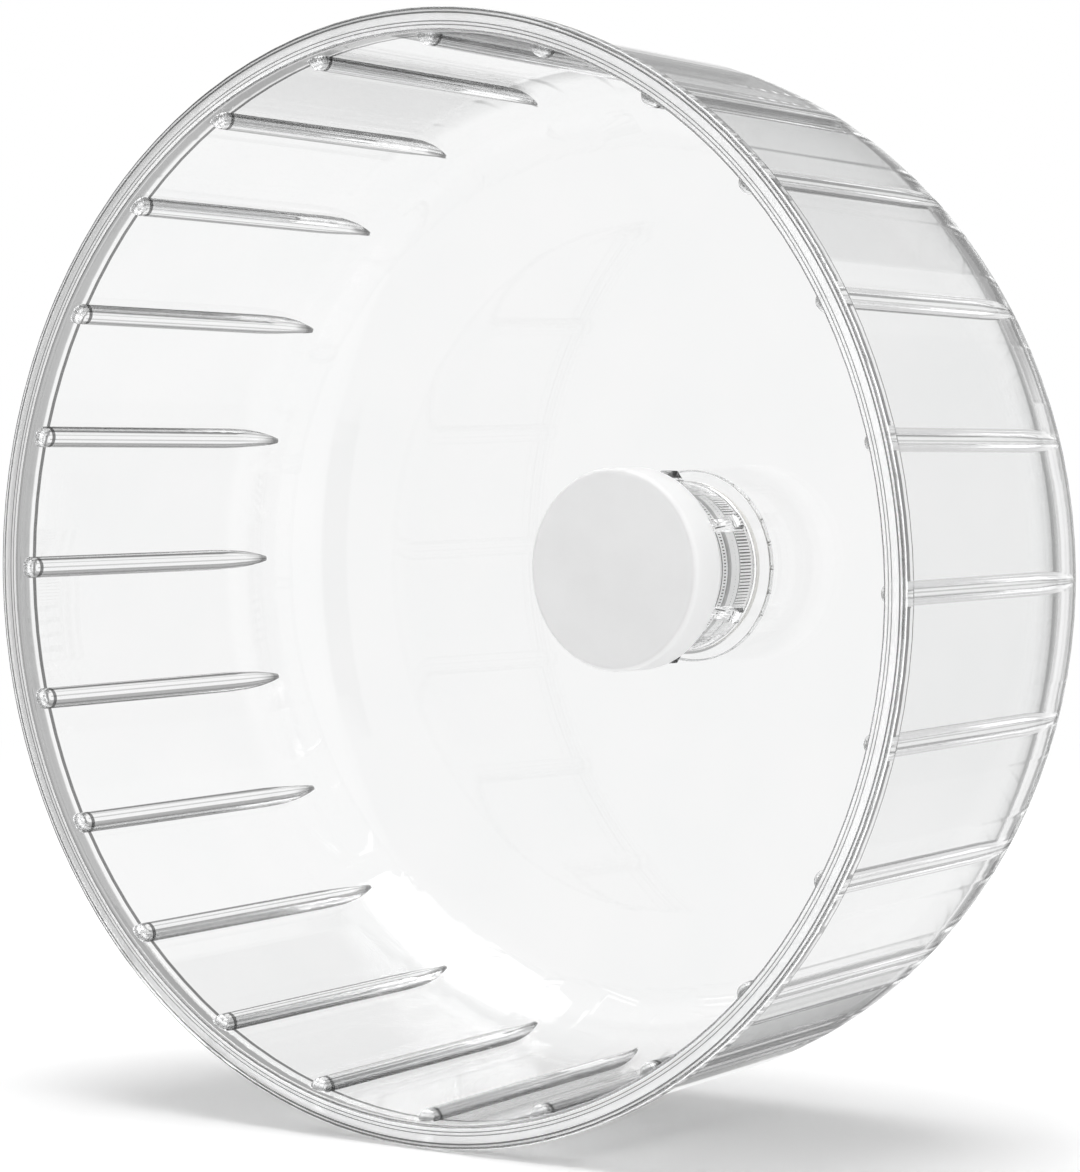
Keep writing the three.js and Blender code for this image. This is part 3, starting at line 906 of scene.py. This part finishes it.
def makeRaces(name):
    outer, inner = name + "_outer_race", name + "_inner_race"
    front, back = depthsOf(outer)
    middle, edge = (front + back) / 2, bearing["edge"]
    outside, bore = radiusOf(outer), radiusOf("inner_spacer") - bearing["spacerWall"]
    pitchRadius = (outside + bore) / 2
    shoulder = outside - bearing["raceShoulder"]
    seat, seatDepth = shoulder + bearing["shieldSeat"], bearing["shieldInside"]
    seatRound, sharp = bearing["seatRound"], bearing["sharpDegrees"]
    profile = [(outside, back, edge, 4), (outside, front, edge, 4), (seat, front, seatRound, 2)]
    profile += [(seat, middle - seatDepth), (shoulder, middle - seatDepth)]
    profile += groovePoints(pitchRadius, shoulder, middle, True)
    profile += [(shoulder, middle + seatDepth), (seat, middle + seatDepth), (seat, back, seatRound, 2)]
    piece = turned("ground_" + outer, roundProfile(profile), bearingSteel, "wheel", sharpDegrees=sharp)
    standIn(piece, outer)
    shoulder, shoulderRound = bore + bearing["raceShoulder"], bearing["shoulderRound"]
    profile = [(bore, front, edge, 4), (bore, back, edge, 4), (shoulder, back, shoulderRound, 2)]
    profile += groovePoints(pitchRadius, shoulder, middle, False)[::-1]
    profile += [(shoulder, front, shoulderRound, 2)]
    piece = turned("ground_" + inner, roundProfile(profile), bearingSteel, "axle_unit", sharpDegrees=sharp)
    standIn(piece, inner)


def makeShield(node, rearward):
    # pressed sheet: a flat ring with a shallow step towards its hole
    front, back = depthsOf(node)
    outside = radiusOf(node)
    hole = outside - bearing["shieldWidth"]
    step, gauge = bearing["shieldStep"], bearing["shieldGauge"]
    insideNear, insideFar = bearing["stepInside"]
    outsideNear, outsideFar = bearing["stepOutside"]
    far, sign = (back, 1) if rearward else (front, -1)
    corners = [
        (outside, far - sign * step),
        (outside, far - sign * (step + gauge)),
        (hole + insideFar, far - sign * (step + gauge)),
        (hole + insideNear, far - sign * gauge),
        (hole, far - sign * gauge),
        (hole, far),
        (hole + outsideNear, far),
        (hole + outsideFar, far - sign * step),
    ]
    profile = roundProfile([(*corner, bearing["shieldRound"], 2) for corner in corners])
    if not rearward:
        profile = profile[::-1]
    piece = turned("pressed_" + node, profile, zincPlate, "wheel", sharpDegrees=bearing["sharpDegrees"])
    return standIn(piece, node)


def makeBall(node, body):
    low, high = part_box(node)
    centre = (low + high) / 2
    shape = bmesh.new()
    bmesh.ops.create_icosphere(shape, subdivisions=4, radius=(high.y - low.y) / 2)
    verts = [tuple(vert.co + centre) for vert in shape.verts]
    faces = [tuple(vert.index for vert in face.verts) for face in shape.faces]
    shape.free()
    return standIn(addPiece("polished_" + node, verts, faces, bearingSteel, body), node)


for bearingName, ballSet in (("front_bearing", "front_ball_set"), ("rear_bearing", "rear_ball_set")):
    makeRaces(bearingName)
    makeShield(bearingName + "_front_shield", False)
    makeShield(bearingName + "_rear_shield", True)
    for node in nodes:
        if node.startswith(bearingName + "_ball_"):
            makeBall(node, ballSet)
print("bearings: races, shields and balls")

# axle: turned nylon with a chamfered flange and three blind pilot holes in its rear face
axle = {
    "shoulder": 7.0 * mm,
    "shoulderFillet": 0.5 * mm,
    "shoulderRound": 0.3 * mm,
    "flangeThickness": 5.0 * mm,
    "chamfer": 0.5 * mm,
    "spindleFillet": 0.2 * mm,
    "pilotRadius": 2.2 * mm,
    "pilotRound": 0.2 * mm,
    "pilotDepth": 13.2 * mm,
    "holeRadius": 1.25 * mm,
    "holeDepth": 4.0 * mm,
    "holeCircle": 7.5 * mm,
    "holeCount": 3,
    "holeSides": 40,
}


def makeAxle():
    front, back = depthsOf("axle")
    flange = radiusOf("axle")
    flangeFront, chamfer = back - axle["flangeThickness"], axle["chamfer"]
    shoulderFace = depthsOf("rear_bearing_inner_race")[1] + drum["fitClearance"]
    spindle = radiusOf("inner_spacer") - bearing["spacerWall"] - drum["fitClearance"]
    profile = roundProfile([
        (0, back),
        (flange, back, chamfer, 4),
        (flange, flangeFront, chamfer, 4),
        (axle["shoulder"], flangeFront, axle["shoulderFillet"], 4),
        (axle["shoulder"], shoulderFace, axle["shoulderRound"], 3),
        (spindle, shoulderFace, axle["spindleFillet"], 2),
        (spindle, front, chamfer, 3),
        (axle["pilotRadius"], front, axle["pilotRound"], 2),
        (axle["pilotRadius"], front + axle["pilotDepth"]),
        (0, front + axle["pilotDepth"]),
    ], closed=False)
    piece = turned("turned_axle", profile, nylon, "axle_unit", segments=128)

    cutters = []
    for i in range(axle["holeCount"]):
        turn = math.pi / 2 + 2 * math.pi * i / axle["holeCount"]
        place = (axle["holeCircle"] * math.cos(turn), frontY + back, axle["holeCircle"] * math.sin(turn))
        cutters.append(addDrill(place, axle["holeRadius"], axle["holeDepth"], axle["holeSides"]))
    cutAway(piece, cutters)
    return standIn(piece, "axle")


turnedAxle = makeAxle()
print("axle:", len(turnedAxle.data.polygons), "faces")

# the hidden pieces keep their solids and take a finish
finishes = {"inner_spacer": nylon, "axle_washer": zincPlate, "axle_screw": zincPlate}
for name, node in nodes.items():
    for slot in node.material_slots:
        slot.material = finishes.get(name, cagePlastic if name.endswith("_cage") else bearingSteel)
print("hidden pieces: spacer, washer, screw and cages")

# stage: pale floor, soft studio surroundings and light, and the photograph's viewpoint
stage = {
    "floorRadius": 4.0,
    "floorDrop": 0.3 * mm,
    "floorGrey": 0.95,
    "floorRoughness": 0.9,
    "fadeStart": 0.3,  # metres from the middle, where the floor begins to turn white
    "fadeEnd": 0.9,
    # panels round the wheel are (from, to, grey) in degrees round the horizon
    # their rises are (elevation in degrees, share of the panel)
    "ceilings": ((84, 176, 0.45),),
    "ceilingRise": ((-90, 0.0), (9, 0.0), (14, 1.0), (55, 1.0), (75, 0.3), (90, 0.0)),
    "skirts": ((107, 122, 0.3), (144, 171, 0.4)),
    "skirtRise": ((-90, 0.0), (-55, 0.0), (-45, 1.0), (-18, 1.0), (-13, 0.0), (90, 0.0)),
    "screens": ((-66, -48, 0.3), (43, 80, 0.7), (99, 113, 0.25), (144, 171, 0.5)),
    "screenRise": ((-90, 0.0), (-30, 0.0), (-20, 1.0), (20, 1.0), (30, 0.0), (90, 0.0)),
    "fronts": ((-150, -50, 0.72),),
    "frontRise": ((-90, 0.0), (-70, 1.0), (50, 1.0), (70, 0.0), (90, 0.0)),
    "sides": ((-42, 37, 1.1),),
    "sideRise": ((-90, 0.0), (-60, 0.0), (-40, 1.0), (50, 1.0), (70, 0.0), (90, 0.0)),
    "softEdge": 3,  # degrees
    "lampPlace": (0.05, -0.1, 1.6),
    "lampSize": 1.4,
    "lampPower": 18,
    "cameraOffset": (484.6 * mm, -617.5 * mm, 32.2 * mm),  # from the centre of the lip's front face
    "cameraYaw": 36.477,
    "cameraPitch": 2.426,
    "cameraLens": 131.155,
    "cameraSensor": 36,
    "cameraClip": (0.01, 50),
    "bounces": 128,  # light runs a long way inside the clear wall
}


def makeFloor():
    # plain and pale near the wheel, white like the surroundings far off, so that no horizon shows
    material, tree, shader = newMaterial("paleFloor")
    grey = stage["floorGrey"]
    shader.inputs["Base Color"].default_value = (grey, grey, grey, 1)
    shader.inputs["Roughness"].default_value = stage["floorRoughness"]
    shader.inputs["Specular IOR Level"].default_value = 0.0
    distance = tree.nodes.new("ShaderNodeVectorMath")
    distance.operation = "LENGTH"
    tree.links.new(objectPlace(tree), distance.inputs[0])
    fade = tree.nodes.new("ShaderNodeMapRange")
    fade.interpolation_type = "SMOOTHSTEP"
    fade.inputs["From Min"].default_value = stage["fadeStart"]
    fade.inputs["From Max"].default_value = stage["fadeEnd"]
    tree.links.new(distance.outputs["Value"], fade.inputs["Value"])
    glow = tree.nodes.new("ShaderNodeEmission")
    mix = tree.nodes.new("ShaderNodeMixShader")
    tree.links.new(fade.outputs["Result"], mix.inputs["Fac"])
    tree.links.new(shader.outputs["BSDF"], mix.inputs[1])
    tree.links.new(glow.outputs["Emission"], mix.inputs[2])
    tree.links.new(mix.outputs["Shader"], tree.nodes["Material Output"].inputs["Surface"])
    mesh = bpy.data.meshes.new("floor")
    disc = bmesh.new()
    bmesh.ops.create_circle(disc, cap_ends=True, segments=96, radius=stage["floorRadius"])
    disc.to_mesh(mesh)
    disc.free()
    mesh.materials.append(material)
    floor = bpy.data.objects.new("floor", mesh)
    floor.location = (0, 0, -lipRadius - stage["floorDrop"])
    bpy.context.scene.collection.objects.link(floor)
    floor.visible_transmission = False  # the clear wall shows the surroundings, not the floor
    floor.visible_glossy = False


def panelStops(panels, outside):
    stops, edge = [], stage["softEdge"]
    for start, end, grey in panels:
        stops += [(start - edge, outside), (start, grey), (end, grey), (end + edge, outside)]
    return stops


def makeWorld():
    # the camera sees plain white; the wheel sees white surroundings with darker panels above, below,
    # behind and in front, which draw the clear edges, and one brighter panel at the side
    world = bpy.data.worlds.new("studio")
    bpy.context.scene.world = world
    world.use_nodes = True
    tree = world.node_tree
    x, y, z = splitPlace(tree, tree.nodes.new("ShaderNodeTexCoord").outputs["Generated"])
    elevation, around = addMath(tree, "ARCSINE", z), addMath(tree, "ARCTAN2", y, x)
    kinds = [(kind, "DARKEN", 1.0) for kind in ("ceiling", "skirt", "screen", "front")]
    kinds.append(("side", "LIGHTEN", 0.0))
    surroundings = None
    for kind, mode, outside in kinds:
        share = greyRamp(tree, elevation, degree, stage[kind + "Rise"])
        panels = greyRamp(tree, around, degree, panelStops(stage[kind + "s"], outside), ends=(-180, 180))
        surroundings = blend(tree, mode, share, surroundings, panels)
    seen = tree.nodes.new("ShaderNodeLightPath").outputs["Is Camera Ray"]
    tree.links.new(blend(tree, "MIX", seen, surroundings, None), tree.nodes["Background"].inputs["Color"])


def makeLamp():
    data = bpy.data.lights.new("topSoftbox", "AREA")
    data.shape = "DISK"
    data.size = stage["lampSize"]
    data.energy = stage["lampPower"]
    lamp = bpy.data.objects.new("topSoftbox", data)
    place = Vector(stage["lampPlace"])
    lamp.location = place
    lamp.rotation_euler = (-place).to_track_quat("-Z", "Y").to_euler()
    lamp.visible_glossy = False
    bpy.context.scene.collection.objects.link(lamp)


def makeCamera():
    data = bpy.data.cameras.new("camera")
    data.lens = stage["cameraLens"]
    data.sensor_width = stage["cameraSensor"]
    data.clip_start, data.clip_end = stage["cameraClip"]
    camera = bpy.data.objects.new("camera", data)
    camera.location = Vector((0, frontY, 0)) + Vector(stage["cameraOffset"])
    yaw, pitch = math.radians(stage["cameraYaw"]), math.radians(stage["cameraPitch"])
    forward = Vector((-math.sin(yaw) * math.cos(pitch), math.cos(yaw) * math.cos(pitch), -math.sin(pitch)))
    camera.rotation_mode = "QUATERNION"
    camera.rotation_quaternion = forward.to_track_quat("-Z", "Y")
    bpy.context.scene.collection.objects.link(camera)
    bpy.context.scene.camera = camera


makeFloor()
makeWorld()
makeLamp()
makeCamera()
bpy.context.scene.view_settings.view_transform = "Standard"
bpy.context.scene.cycles.max_bounces = stage["bounces"]
bpy.context.scene.cycles.transmission_bounces = stage["bounces"]
bpy.context.scene.cycles.glossy_bounces = stage["bounces"]
print("stage ready")
